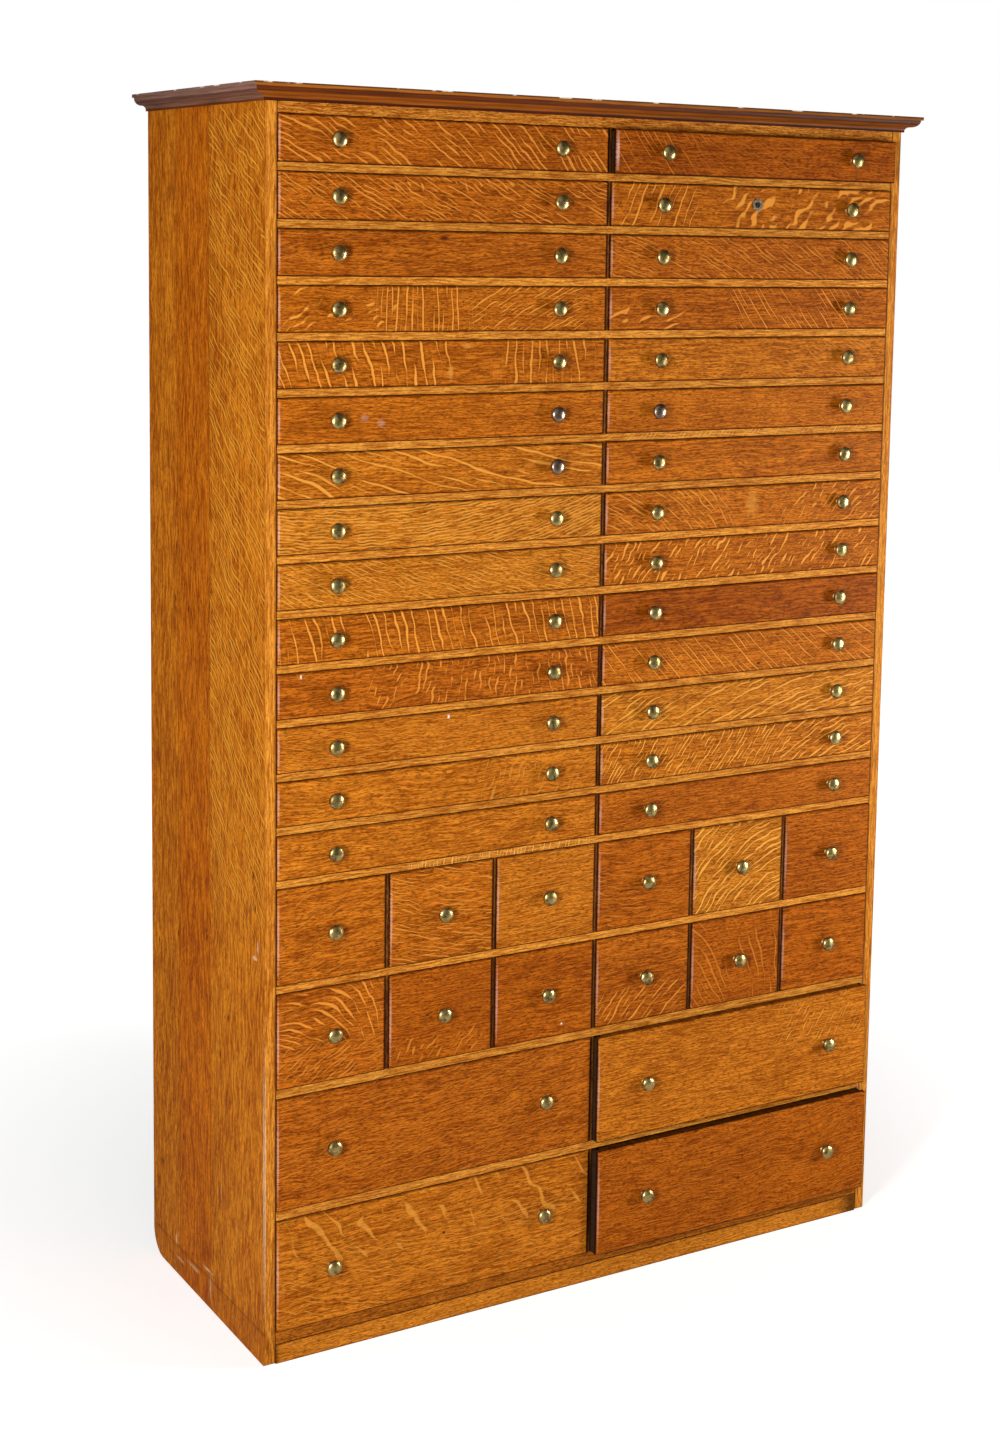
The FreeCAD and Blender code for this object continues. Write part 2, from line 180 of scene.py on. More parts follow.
rayLine = {
    "gather": 2.4,       # spacings from where the lines gather to where they part
    "patch": 0.8,        # and the width of the patches that show
    "fade": 0.2,         # how slowly a line fades out along its length
    "taper": 0.8,        # more of it makes the lines narrower
    "edge": 0.45,        # how soft a line's edge is
    "seam": (3.4, 1.4),  # a dark seam beside the line, in half widths of the line
    "seamShare": 0.34,
    "featherLong": 30,   # mm on each side of a stretch's end in which it fades, along and across
    "featherHigh": 8,
}


def alongGrain(tree, centre, axes, mirror=1.0):
    # the place on the board in mm: along the grain, across it, and into it
    spot = addNode(tree, "TexCoord").outputs["Object"]
    spot = addNode(tree, "VectorMath", {0: spot, 1: (-centre[0], -centre[1], -centre[2])}, operation="ADD")
    spot = addNode(tree, "VectorMath", {0: spot, 1: (1000, 1000, 1000)}, operation="MULTIPLY")
    split = addNode(tree, "SeparateXYZ", {0: spot})
    u, v, w = (split.outputs["XYZ".index(a)] for a in axes)
    if mirror < 0:
        v = addNode(tree, "Math", {0: v, 1: -1.0}, operation="MULTIPLY")
    return u, v, w


def rayLayer(tree, u, v, w, size, layer, seed):
    # one set of rays: the angle of its lines turns from the left end to the right end
    kind, left, right, zone, strength = layer
    spacing, thickness, length, cover, warp, warpSize, wobble = rays[kind]
    halfLong, halfHigh = size[0] / 2, size[1] / 2
    a, b = math.radians(left), math.radians(right)
    slopeU, bendU = -(math.sin(a) + math.sin(b)) / 2, -(math.sin(b) - math.sin(a)) / (4 * halfLong)
    slopeV, bendV = (math.cos(a) + math.cos(b)) / 2, (math.cos(b) - math.cos(a)) / (2 * halfLong)
    place = addNode(tree, "CombineXYZ", {0: u, 1: v, 2: w})
    drift = addNode(tree, "TexNoise", {"Vector": place, "W": seed, "Scale": 1 / warpSize, "Detail": 2.0},
                    noise_dimensions="4D")
    drift = addNode(tree, "VectorMath", {0: drift.outputs["Color"], 1: (0.5, 0.5, 0.5)}, operation="SUBTRACT")
    place = addNode(tree, "VectorMath", {0: drift, 1: (2 * warp, 2 * warp, 0), 2: place},
                    operation="MULTIPLY_ADD")
    split = addNode(tree, "SeparateXYZ", {0: place})
    x, y = split.outputs[0], split.outputs[1]
    partU = addNode(tree, "Math", {0: x, 1: bendU, 2: slopeU}, operation="MULTIPLY_ADD")
    partU = addNode(tree, "Math", {0: partU, 1: x}, operation="MULTIPLY")
    partV = addNode(tree, "Math", {0: x, 1: bendV, 2: slopeV}, operation="MULTIPLY_ADD")
    across = addNode(tree, "Math", {0: partV, 1: y, 2: partU}, operation="MULTIPLY_ADD")
    middle = (a + b) / 2
    lengthwise = addNode(tree, "Math", {0: x, 1: math.cos(middle)}, operation="MULTIPLY")
    lengthwise = addNode(tree, "Math", {0: y, 1: math.sin(middle), 2: lengthwise}, operation="MULTIPLY_ADD")
    lengthwise = addNode(tree, "Math", {0: lengthwise, 1: length}, operation="DIVIDE")

    # evenly spaced lines, pushed about by a slow noise so that they gather and part
    cell = addNode(tree, "CombineXYZ", {
        0: addNode(tree, "Math", {0: across, 1: rayLine["gather"] * spacing}, operation="DIVIDE"),
        1: lengthwise, 2: seed * 1.7})
    push = addNode(tree, "TexNoise", {"Vector": cell, "Scale": 1.0, "Detail": 1.0})
    phase = addNode(tree, "Math", {0: across, 1: 1 / spacing, 2: seed}, operation="MULTIPLY_ADD")
    phase = addNode(tree, "Math", {0: push, 1: 2 * wobble, 2: phase}, operation="MULTIPLY_ADD")
    off = addNode(tree, "Math", {0: phase, 1: 0.5}, operation="PINGPONG")
    half = thickness / spacing / 2
    cell = addNode(tree, "CombineXYZ", {
        0: addNode(tree, "Math", {0: across, 1: rayLine["patch"] * spacing}, operation="DIVIDE"),
        1: lengthwise, 2: seed * 2.3 + 40})
    shown = addNode(tree, "TexNoise", {"Vector": cell, "Scale": 1.0, "Detail": 1.0})
    shown = addNode(tree, "MapRange", {0: shown, 1: cover, 2: cover + rayLine["fade"]})
    if zone:
        # feathered ends, so that one part of the board has the figure and the rest stays plain
        along, high = rayLine["featherLong"], rayLine["featherHigh"]
        limits = ((u, zone[0] * halfLong, along), (u, zone[1] * halfLong, -along),
                  (v, zone[2] * halfHigh, high), (v, zone[3] * halfHigh, -high))
        for axis, limit, feather in limits[:2 if zone[2:] == (-1, 1) else 4]:
            keep = addNode(tree, "MapRange", {0: axis, 1: limit - feather, 2: limit + feather},
                           interpolation_type="SMOOTHSTEP")
            shown = addNode(tree, "Math", {0: shown, 1: keep}, operation="MULTIPLY")
    # a line is widest in its middle and runs out to a point
    line = addNode(tree, "Math", {0: off, 1: -rayLine["taper"] / half, 2: shown}, operation="MULTIPLY_ADD")
    line = addNode(tree, "MapRange", {0: line, 1: 0.0, 2: rayLine["edge"], 4: strength})
    outer, inner = rayLine["seam"]
    share = rayLine["seamShare"] * strength
    seam = addNode(tree, "MapRange", {0: off, 1: half * outer, 2: half * inner, 4: share})
    seam = addNode(tree, "Math", {0: seam, 1: shown}, operation="MULTIPLY")
    return line, seam


def tinted(tree, share, under, over, blend="MIX"):
    # over laid on under, by a share from 0 to 1
    return addNode(tree, "Mix", {0: share, 6: under, 7: over}, data_type="RGBA", blend_type=blend).outputs[2]


def markShare(tree, u, v, ragged, mark):
    # a ragged oval, 1 inside: a knot, a split, a scuff or a speck of paint
    markU, markV, markLong, markHigh = mark[:4]
    near = addNode(tree, "CombineXYZ", {0: u, 1: v})
    near = addNode(tree, "VectorMath", {0: near, 1: (-markU, -markV, 0)}, operation="ADD")
    near = addNode(tree, "VectorMath", {0: near, 1: (1 / markLong, 1 / markHigh, 0)}, operation="MULTIPLY")
    near = addNode(tree, "VectorMath", {0: near}, operation="LENGTH").outputs["Value"]
    near = addNode(tree, "Math", {0: ragged, 1: 0.7, 2: near}, operation="MULTIPLY_ADD")
    return addNode(tree, "MapRange", {0: near, 1: 1.2, 2: 0.6, 4: mark[5]})


def rimShare(tree, u, v, size, reach):
    # how near the rim of a board: reach has (mm, share) for the low and high ends of u, then of v
    found = None
    for axis, sign, half, (far, most) in ((u, 1, size[0] / 2, reach[0]), (u, -1, size[0] / 2, reach[1]),
                                          (v, 1, size[1] / 2, reach[2]), (v, -1, size[1] / 2, reach[3])):
        inward = addNode(tree, "Math", {0: axis, 1: sign, 2: half}, operation="MULTIPLY_ADD")
        part = addNode(tree, "MapRange", {0: inward, 1: far, 2: 0.25 * far, 4: most})
        found = part if found is None else addNode(tree, "Math", {0: found, 1: part}, operation="MAXIMUM")
    return found


def oakMaterial(name, look, centre, size, axes="XZY", mirror=1.0):
    # size: mm of the board along its grain and across it
    made, tree = newMaterial(name)
    seed = look["seed"]
    dark, light, ray = (hexColour(c) for c in tones[look["tone"]])
    u, v, w = alongGrain(tree, centre, axes, mirror)
    board = addNode(tree, "Attribute", attribute_name="board").outputs["Fac"]
    shifted = addNode(tree, "Math", {0: board, 1: boardShift, 2: seed * seedShift}, operation="MULTIPLY_ADD")
    shifted = addNode(tree, "Math", {0: v, 1: shifted}, operation="ADD")
    for seam in look.get("joints", ()):
        # where boards are glued edge to edge, the grain starts afresh
        past = addNode(tree, "MapRange", {0: v, 1: seam - 0.01, 2: seam + 0.01, 4: jointShift})
        shifted = addNode(tree, "Math", {0: shifted, 1: past}, operation="ADD")
    place = addNode(tree, "CombineXYZ", {0: u, 1: shifted, 2: w})
    wander = addNode(tree, "TexNoise", {"Vector": place, "Scale": 1 / oak["wanderSize"], "Detail": 1.0})
    wander = addNode(tree, "Math", {0: wander, 1: look.get("wander", oak["wander"]), 2: shifted},
                     operation="MULTIPLY_ADD")
    figure, broad = {}, look.get("broad", 1.0)
    for part, detail, rough in (("cloud", 2.0, 0.5), ("streak", 3.0, 0.65), ("pore", 2.0, 0.6)):
        cell = addNode(tree, "CombineXYZ", {
            0: addNode(tree, "Math", {0: u, 1: 1 / oak[part + "Length"]}, operation="MULTIPLY"),
            1: addNode(tree, "Math", {0: wander, 1: 1 / oak[part + "Width"] / broad}, operation="MULTIPLY"),
            2: addNode(tree, "Math", {0: w, 1: 1 / oak["layer"], 2: seed}, operation="MULTIPLY_ADD")})
        figure[part] = addNode(tree, "TexNoise", {"Vector": cell, "Scale": 1.0, "Detail": detail,
                                                  "Roughness": rough})
    pores = addNode(tree, "MapRange", {0: figure["pore"], 1: 0.48, 2: 0.62})

    most = oak["cloudShare"]
    ground = addNode(tree, "MapRange", {0: figure["cloud"], 1: 0.3, 2: 0.7, 3: -most, 4: most})
    streak = addNode(tree, "MapRange", {0: figure["streak"], 1: 0.36, 2: 0.64})
    ground = addNode(tree, "Math", {0: streak, 1: 1.0, 2: ground}, operation="MULTIPLY_ADD", use_clamp=True)
    colour = tinted(tree, ground, dark, light)
    if look.get("uneven"):
        shade = addNode(tree, "MapRange", {0: board, 3: 1 - look["uneven"], 4: 1.0})
        colour = tinted(tree, 1.0, colour, shade, "MULTIPLY")
    darkPore = tuple(c * oak["poreTone"] for c in dark[:3]) + (1,)
    filled = addNode(tree, "Math", {0: pores, 1: look.get("pores", oak["pores"])}, operation="MULTIPLY")
    colour = tinted(tree, filled, colour, darkPore)
    for n, layer in enumerate(look.get("rays", ())):
        line, seam = rayLayer(tree, u, v, w, size, layer, seed + 3.1 * n)
        colour = tinted(tree, seam, colour, darkPore)
        colour = tinted(tree, line, colour, ray)
    for mark in look.get("marks", ()):
        colour = tinted(tree, markShare(tree, u, v, figure["pore"], mark), colour, hexColour(mark[4]))
    if "between" in look:
        # one of the glued boards has taken the stain deeper
        low, high, tone = look["between"]
        share = addNode(tree, "MapRange", {0: v, 1: low - 0.5, 2: low + 0.5})
        under = addNode(tree, "MapRange", {0: v, 1: high + 0.5, 2: high - 0.5})
        share = addNode(tree, "Math", {0: share, 1: under}, operation="MULTIPLY")
        colour = tinted(tree, share, colour, hexColour(tone), "MULTIPLY")
    for seam in look.get("joints", ()):
        off = addNode(tree, "Math", {0: v, 1: -seam}, operation="ADD")
        off = addNode(tree, "Math", {0: off}, operation="ABSOLUTE")
        off = addNode(tree, "MapRange", {0: off, 1: 1.6, 2: 0.3, 4: 0.5})
        colour = tinted(tree, off, colour, darkPore)
    if "rim" in look:
        # old polish and dirt gather along the rim, and the rim's darkening is also painted shade in the gaps
        # between parts
        colour = tinted(tree, rimShare(tree, u, v, size, look["rim"]), colour, hexColour(dirtAndShade))
    if "depth" in look:
        # the faces behind the front face are near black: dirt that was never cleaned, and painted shade in
        # the gaps; topShade is the share of it on the top one
        behind = addNode(tree, "MapRange", {0: w, 1: look["depth"], 2: look["depth"] + 2.0, 4: 0.94})
        lower = addNode(tree, "MapRange", {0: v, 1: size[1] / 2 - 1.0, 2: size[1] / 2 - 0.2, 3: 1.0,
                                           4: look.get("topShade", 1.0)})
        behind = addNode(tree, "Math", {0: behind, 1: lower}, operation="MULTIPLY")
        colour = tinted(tree, behind, colour, hexColour(blackDirtAndShade))
    if "foot" in look:
        # wax and damp have darkened the foot, up to a line
        height, share, tone = look["foot"]
        low = addNode(tree, "Math", {0: figure["cloud"], 1: 9.0, 2: u}, operation="MULTIPLY_ADD")
        low = addNode(tree, "Math", {0: low, 1: -height - 4.5}, operation="ADD")
        colour = tinted(tree, addNode(tree, "MapRange", {0: low, 1: 2.0, 2: -2.0, 4: share}), colour,
                        hexColour(tone))
        low = addNode(tree, "Math", {0: low}, operation="ABSOLUTE")
        colour = tinted(tree, addNode(tree, "MapRange", {0: low, 1: 3.0, 2: 0.6, 4: 0.35}), colour,
                        hexColour(dirtAndShade))
    if "specks" in look:
        colour = tinted(tree, speckShare(tree, u, v, look["specks"]), colour, hexColour(dirtAndShade))
    height = addNode(tree, "Math", {0: pores, 1: -1.0, 2: 1.0}, operation="MULTIPLY_ADD")
    rough = addNode(tree, "MapRange", {0: figure["streak"], 1: 0.3, 2: 0.7, 3: oak["roughness"] - 0.05,
                                       4: oak["roughness"] + 0.08})
    finishMaterial(tree, {"Base Color": colour, "Roughness": rough, "IOR": oak["ior"],
                          "Specular IOR Level": oak["specular"]}, height, 0.2, oak["poreDepth"])
    return made


pits = {"spacing": 24.0, "groups": 60.0, "stretch": 0.45, "strength": 0.8}  # mm, but for the last two


def speckShare(tree, u, v, zone):
    # small dark pits in loose groups, within a zone of (low u, high u, low v, high v)
    place = addNode(tree, "CombineXYZ", {
        0: addNode(tree, "Math", {0: u, 1: pits["stretch"]}, operation="MULTIPLY"), 1: v})
    pit = addNode(tree, "TexVoronoi", {"Vector": place, "Scale": 1 / pits["spacing"]}, feature="F1")
    pit = addNode(tree, "MapRange", {0: pit.outputs["Distance"], 1: 0.17, 2: 0.07, 4: pits["strength"]})
    group = addNode(tree, "TexNoise", {"Vector": place, "Scale": 1 / pits["groups"], "Detail": 2.0})
    group = addNode(tree, "MapRange", {0: group, 1: 0.50, 2: 0.58})
    share = addNode(tree, "Math", {0: pit, 1: group}, operation="MULTIPLY")
    for axis, limit, feather in ((u, zone[0], 40), (u, zone[1], -40), (v, zone[2], 10), (v, zone[3], -10)):
        keep = addNode(tree, "MapRange", {0: axis, 1: limit - feather, 2: limit + feather})
        share = addNode(tree, "Math", {0: share, 1: keep}, operation="MULTIPLY")
    return share


def islandsOf(bm):
    # the separate solids of a mesh, each as a list of faces
    left, found = set(bm.faces), []
    while left:
        stack, island = [left.pop()], []
        while stack:
            face = stack.pop()
            island.append(face)
            for edge in face.edges:
                for other in edge.link_faces:
                    if other in left:
                        left.remove(other)
                        stack.append(other)
        found.append(island)
    return found


def spanOf(points):
    return [Vector(pick(p[n] for p in points) for n in range(3)) for pick in (min, max)]


def solidsOf(node):
    # each solid of a CAD node, as its own welded mesh with whole faces
    bm = bmesh.new()
    bm.from_mesh(frame["nodes"][node].data)
    bmesh.ops.remove_doubles(bm, verts=bm.verts, dist=0.002 * mm)
    bmesh.ops.dissolve_limit(bm, angle_limit=math.radians(0.5), verts=bm.verts, edges=bm.edges)
    solids = []
    for island in islandsOf(bm):
        own = bmesh.new()
        copied = {v: own.verts.new(v.co) for v in {v for f in island for v in f.verts}}
        for face in island:
            own.faces.new([copied[v] for v in face.verts])
        solids.append((own, *spanOf([v.co for v in own.verts])))
    bm.free()
    solids.sort(key=lambda s: tuple(round(c, 4) for c in (*s[1], *s[2])))
    return solids


rounding = {
    "rubbedCorner": (2.4, 4),  # mm taken off an edge, and in how many steps
    "front": (1.2, 3),
    "drawerBoard": (0.5, 1),
    "side": (1.2, 3),
    "rail": (1.3, 2),
    "plinth": (1.2, 2),
    "bottom": (0.9, 2),
    "inner": (0.6, 2),
    "cornice": (0.5, 2),
    "lock": (0.25, 2),
}


def roundEdges(bm, edge, near=None):
    # takes the sharp outer edges off, as sanding and use do; near picks some of them by their ends
    width, segments = rounding[edge]
    sharp = [e for e in bm.edges if e.is_manifold and e.is_convex and e.calc_face_angle(0) > math.radians(25)]
    if near:
        sharp = [e for e in sharp if all(near(v.co) for v in e.verts)]
    if sharp:
        bmesh.ops.bevel(bm, geom=sharp, offset=width * mm, offset_type="OFFSET", segments=segments,
                        profile=0.5, affect="EDGES", clamp_overlap=True)


def makePiece(name, solids, materials, body, nodes, slotFor=None):
    # joins solids into one piece; each keeps a random number, which shifts its grain from the others'
    mesh = bpy.data.meshes.new(name)
    joined = bmesh.new()
    boardLayer = joined.verts.layers.float.new("board")
    for index, bm in enumerate(solids):
        bm.normal_update()
        number = random.random()
        copied = {}
        for v in bm.verts:
            copied[v] = joined.verts.new(v.co)
            copied[v][boardLayer] = number
        for face in bm.faces:
            made = joined.faces.new([copied[v] for v in face.verts])
            made.smooth = True
            if slotFor:
                made.material_index = slotFor(index, face)
    joined.normal_update()
    joined.to_mesh(mesh)
    joined.free()
    for m in materials:
        mesh.materials.append(m)
    mesh.set_sharp_from_angle(angle=math.radians(38))
    piece = bpy.data.objects.new(name, mesh)
    inScene.link(piece)
    even = piece.modifiers.new("evenNormals", "WEIGHTED_NORMAL")
    even.keep_sharp = True
    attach(piece, body)
    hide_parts(*nodes)


# Drawer fronts: which board each was cut from. rays: kind, angle in degrees at the left and right
# end, where on the front (from -1 to 1 along it, then from -1 to 1 up it) or None, and strength.
# marks: mm along and up from the middle, half sizes in mm, colour and strength.

# painted shade: the drawer fronts' dark rims, near black along the bottom, stand for the shadow in the gaps
# round them
frontRimShade = ((0.1, 0.0), (4.0, 0.7), (2.8, 0.95), (2.2, 0.6))
# the corner tone below is a painted highlight: the lamp's reflection on the fronts' rounded left corners
cornerHighlightTone = "#cfa08e"
splitTone, knotTone, scuffTone, paintTone = "#2a0f05", "#4a1f0a", "#c79a86", "#f2e6dc"

fronts = {
    "thin_drawer_01_left": {"tone": "mid", "rays": [("line", -22, -50, None, 0.8)]},
    "thin_drawer_02_left": {"tone": "mid",
        "rays": [("fine", -32, -24, None, 0.75), ("blotch", -60, -50, (-0.4, 0.9, 0.35, 1), 0.8)],
        "marks": [(4, -13, 5, 2.5, knotTone, 0.8)]},
    "thin_drawer_03_left": {"tone": "mid", "rays": [("faint", 18, 10, None, 0.25)],
        "marks": [(-9.5, 22.5, 13, 5, knotTone, 0.95)]},
    "thin_drawer_04_left": {"tone": "orange",
        "rays": [("blotch", 28, 20, (-1, -0.32, -1, 1), 0.9), ("arc", 84, 97, (-0.42, 0.12, -1, 1), 0.9),
                 ("fine", 40, 25, (0.12, 0.85, -1, 1), 0.85)], "marks": [(22, 10, 3, 2, splitTone, 0.9)]},
    "thin_drawer_05_left": {"tone": "orange",
        "rays": [("stripe", -66, -104, (-1, 0.0, -1, 1), 1.0), ("stripe", 70, 100, (0.3, 0.9, -1, 1), 0.8)],
        "marks": [(30, 24, 13, 6, "#d28a3a", 0.7), (3, -14, 7, 15, "#d28a3a", 0.8)]},
    "thin_drawer_06_left": {"tone": "orange", "greyKnobs": (1,),
        "marks": [(-132, 2, 9, 7, scuffTone, 0.4), (-106, -6, 9, 8, scuffTone, 0.45)]},
    "thin_drawer_07_left": {"tone": "golden", "greyKnobs": (1,), "rays": [("wavy", -26, -8, None, 0.75)],
        "marks": [(95, -6, 3, 2.5, splitTone, 0.7)]},
    "thin_drawer_08_left": {"tone": "light", "rays": [("ripple", -8, 22, None, 0.55)], "wander": 20.0},
    "thin_drawer_09_left": {"tone": "light", "rays": [("fine", -30, -12, None, 0.5)]},
    "thin_drawer_10_left": {"tone": "orange", "rays": [("stripe", -78, -74, None, 0.95)],
        "marks": [(-239, -8, 8, 1.5, splitTone, 0.6)]},
    "thin_drawer_11_left": {"tone": "mid", "rays": [("stroke", 50, 105, (-0.45, 1, -1, 1), 0.8)],
        "wander": 22.0, "marks": [(-228, 27, 2.5, 4.0, paintTone, 1.0)]},
    "thin_drawer_12_left": {"tone": "golden", "rays": [("faint", -14, 14, None, 0.3)],
        "marks": [(6, 25, 3.0, 4.0, paintTone, 1.0)]},
    "thin_drawer_13_left": {"tone": "golden", "rays": [("stroke", 85, 60, (0.2, 0.9, -1, 1), 0.35)],
        "wander": 26.0},
    "thin_drawer_14_left": {"tone": "golden"},
    "thin_drawer_01_right": {"tone": "deep", "corner": (3.6, 0.9),
        "rays": [("thin", -54, -44, (-1, -0.4, -1, 1), 0.8), ("faint", -32, -20, (-0.5, 0.4, -1, 1), 0.3)]},
    "thin_drawer_02_right": {"tone": "orange",
        "rays": [("stripe", 62, 84, (-1, -0.45, -1, 1), 0.85), ("blob", 66, 26, (-0.25, 1, -1, 1), 0.85)],
        "marks": [(-48, -7, 62, 1.3, splitTone, 0.75)]},
    "thin_drawer_03_right": {"tone": "mid", "rays": [("fine", -18, -38, None, 0.6)]},
    "thin_drawer_04_right": {"tone": "mid",
        "rays": [("bold", 22, 30, (-1, -0.5, -1, 0.1), 0.9), ("thin", -60, -46, (-0.2, 0.8, -1, 1), 0.85)]},
    "thin_drawer_05_right": {"tone": "golden", "rays": [("faint", -30, -30, (0.1, 0.9, -1, 1), 0.35)]},
    "thin_drawer_06_right": {"tone": "orange", "greyKnobs": (0,)},
    "thin_drawer_07_right": {"tone": "orange"},
    "thin_drawer_08_right": {"tone": "orange",
        "rays": [("fine", -24, -88, (-1, -0.1, -1, 1), 0.65), ("stroke", 70, 40, (0.25, 1, -1, 1), 0.8)],
        "marks": [(6, 5, 18, 34, "#d8933a", 0.45), (62, -8, 3, 2.5, splitTone, 0.8)]},
    "thin_drawer_09_right": {"tone": "orange", "rays": [("stroke", 58, 50, None, 1.0)]},
    "thin_drawer_10_right": {"tone": "deep"},
    "thin_drawer_11_right": {"tone": "orange", "rays": [("thin", -52, -34, None, 0.8)],
        "marks": [(27, -20, 5, 3.5, splitTone, 0.9), (72, -22, 3.5, 2.5, splitTone, 0.8)]},
    "thin_drawer_12_right": {"tone": "light", "rays": [("line", 30, 10, None, 0.75)]},
    "thin_drawer_13_right": {"tone": "golden",
        "rays": [("fine", 56, 52, (-1, 0.35, -1, 1), 0.95), ("line", 48, 18, (0.25, 1, -1, 1), 0.9)]},
    "thin_drawer_14_right": {"tone": "mid", "rays": [("faint", 20, 0, None, 0.15)]},
    "small_drawer_1_1": {"tone": "orange", "rays": [("faint", 24, 18, None, 0.3)]},
    "small_drawer_1_2": {"tone": "orange", "rays": [("fine", -18, -8, None, 0.6)]},
    "small_drawer_1_3": {"tone": "golden", "rays": [("faint", 4, 8, None, 0.4)]},
    "small_drawer_1_4": {"tone": "dark", "rays": [("faint", -14, 10, None, 0.5)], "wander": 22.0},
    "small_drawer_1_5": {"tone": "light", "rays": [("line", 52, 18, None, 0.85)]},
    "small_drawer_1_6": {"tone": "dark", "rays": [("faint", -4, 4, None, 0.3)]},
    "small_drawer_2_1": {"tone": "mid",
        "rays": [("line", -10, -80, (-1, 1, -0.2, 1), 0.85), ("fine", 40, 20, (-1, 1, -1, -0.1), 0.6)]},
    "small_drawer_2_2": {"tone": "dark", "rays": [("stroke", 52, 40, (-1, 1, -1, -0.4), 0.7)],
        "marks": [(-24, 2, 4, 3, splitTone, 0.7)]},
    "small_drawer_2_3": {"tone": "dark", "marks": [(30, -52, 2.5, 3.0, paintTone, 1.0)]},
    "small_drawer_2_4": {"tone": "mid", "rays": [("line", 50, 36, (-1, 1, -1, -0.2), 0.8)]},
    "small_drawer_2_5": {"tone": "dark", "rays": [("stripe", -50, -86, None, 0.5)]},
    "small_drawer_2_6": {"tone": "dark"},
    "deep_drawer_1_left": {"tone": "mid", "rays": [("faint", 12, 20, None, 0.3)], "wander": 20.0},
    "deep_drawer_1_right": {"tone": "golden", "rays": [("faint", 40, 60, (0.3, 1, 0.1, 1), 0.7)],
        "rim": (*frontRimShade[:3], (1.5, 0.3)), "topShade": 0.6},
    "deep_drawer_2_left": {"tone": "golden",
        "rays": [("great", -66, -56, (-1, 1, 0.0, 1), 0.5), ("faint", -25, 12, (-1, 1, -1, 0.3), 0.4)],
        "marks": [(8, 8, 3.5, 3.0, blackDirtAndShade, 1.0)]},
    "deep_drawer_2_right": {"tone": "dark", "rays": [("faint", -8, 14, None, 0.3)], "wander": 30.0,
        "rim": (*frontRimShade[:3], (1.5, 0.2)), "topShade": 0.85,
        "marks": [(4, -12, 5, 4, knotTone, 0.8), (48, -32, 3, 3, knotTone, 0.7)]},
}

knobShape = {
    "facets": 40,  # round a ring
    # radius and distance out of the front, mm: neck, underside, rim, dome
    "profile": [(6.4, 0.0), (6.0, 0.8), (5.0, 2.0), (4.6, 3.9), (4.9, 5.9), (6.4, 7.1), (9.4, 7.8),
                (11.3, 9.0), (11.95, 10.7), (11.65, 12.4), (10.6, 14.0), (8.8, 15.3), (6.3, 16.3),
                (3.3, 16.85), (0.0, 17.0)],
}

brassFinish = {
    "patch": 9.0,    # mm of the wide patches of tarnish, and of the fine spots in them
    "spot": 2.8,
    "rubbed": 0.27,  # roughness where hands keep it clean, and under the tarnish
    "tarnished": 0.42,
}


def brassMaterial(name, clean, dull):
    # cast and turned brass, handled for a century: rubbed and tarnished in patches, which break up
    # its highlight
    made, tree = newMaterial(name)
    spot = addNode(tree, "TexCoord").outputs["Object"]
    wide = addNode(tree, "TexNoise", {"Vector": spot, "Scale": 1 / (brassFinish["patch"] * mm),
                                      "Detail": 2.0})
    fine = addNode(tree, "TexNoise", {"Vector": spot, "Scale": 1 / (brassFinish["spot"] * mm), "Detail": 4.0,
                                      "Roughness": 0.65})
    tarnish = addNode(tree, "Math", {0: fine, 1: 0.6, 2: wide}, operation="MULTIPLY_ADD")
    tarnish = addNode(tree, "MapRange", {0: tarnish, 1: 0.68, 2: 1.0}, interpolation_type="SMOOTHSTEP")
    colour = tinted(tree, tarnish, hexColour(clean), hexColour(dull))
    rough = addNode(tree, "MapRange", {0: tarnish, 3: brassFinish["rubbed"], 4: brassFinish["tarnished"]})
    finishMaterial(tree, {"Base Color": colour, "Metallic": 1.0, "Roughness": rough}, wide, 0.1, 0.4)
    return made


pine = {
    "grain": (190.0, 7.0, 9.0),  # mm along it, across it and into the board
    "stainSize": 120.0,
    "boardShift": 3000.0,        # of the pattern from board to board
    "dark": "#7d5429",
    "light": "#bd9259",
    "roughness": 0.72,
    "blackTo": -178.0,           # y in mm; in front of it the drawer sides are painted black, as painted shade
}


def pineMaterial(name, axes, paintedShadeTo=None):
    # planed pine, never polished: dry, straw to brown, with soft grain lines
    made, tree = newMaterial(name)
    u, v, w = alongGrain(tree, (0, 0, 0), axes)
    board = addNode(tree, "Attribute", attribute_name="board").outputs["Fac"]
    shifted = addNode(tree, "Math", {0: board, 1: pine["boardShift"], 2: v}, operation="MULTIPLY_ADD")
    spot = addNode(tree, "CombineXYZ", {0: u, 1: shifted, 2: w})
    place = addNode(tree, "VectorMath", {0: spot, 1: [1 / size for size in pine["grain"]]},
                    operation="MULTIPLY")
    grain = addNode(tree, "TexNoise", {"Vector": place, "Scale": 1.0, "Detail": 3.0, "Distortion": 0.6})
    stain = addNode(tree, "TexNoise", {"Vector": spot, "Scale": 1 / pine["stainSize"], "Detail": 3.0})
    mixed = addNode(tree, "Math", {0: stain, 1: 0.7, 2: grain}, operation="MULTIPLY_ADD")
    mixed = addNode(tree, "MapRange", {0: mixed, 1: 0.55, 2: 1.15})
    colour = tinted(tree, mixed, hexColour(pine["dark"]), hexColour(pine["light"]))
    if paintedShadeTo:
        # painted shade: the front ends of the drawer sides are painted near black, for the shadow inside the
        # gaps round the fronts
        black = addNode(tree, "MapRange", {0: u, 1: paintedShadeTo - 6, 2: paintedShadeTo, 3: 0.93, 4: 0.0})
        colour = tinted(tree, black, colour, hexColour(blackDirtAndShade))
    finishMaterial(tree, {"Base Color": colour, "Roughness": pine["roughness"], "IOR": 1.5,
                          "Specular IOR Level": 0.3}, grain, 0.2, 0.3)
    return made


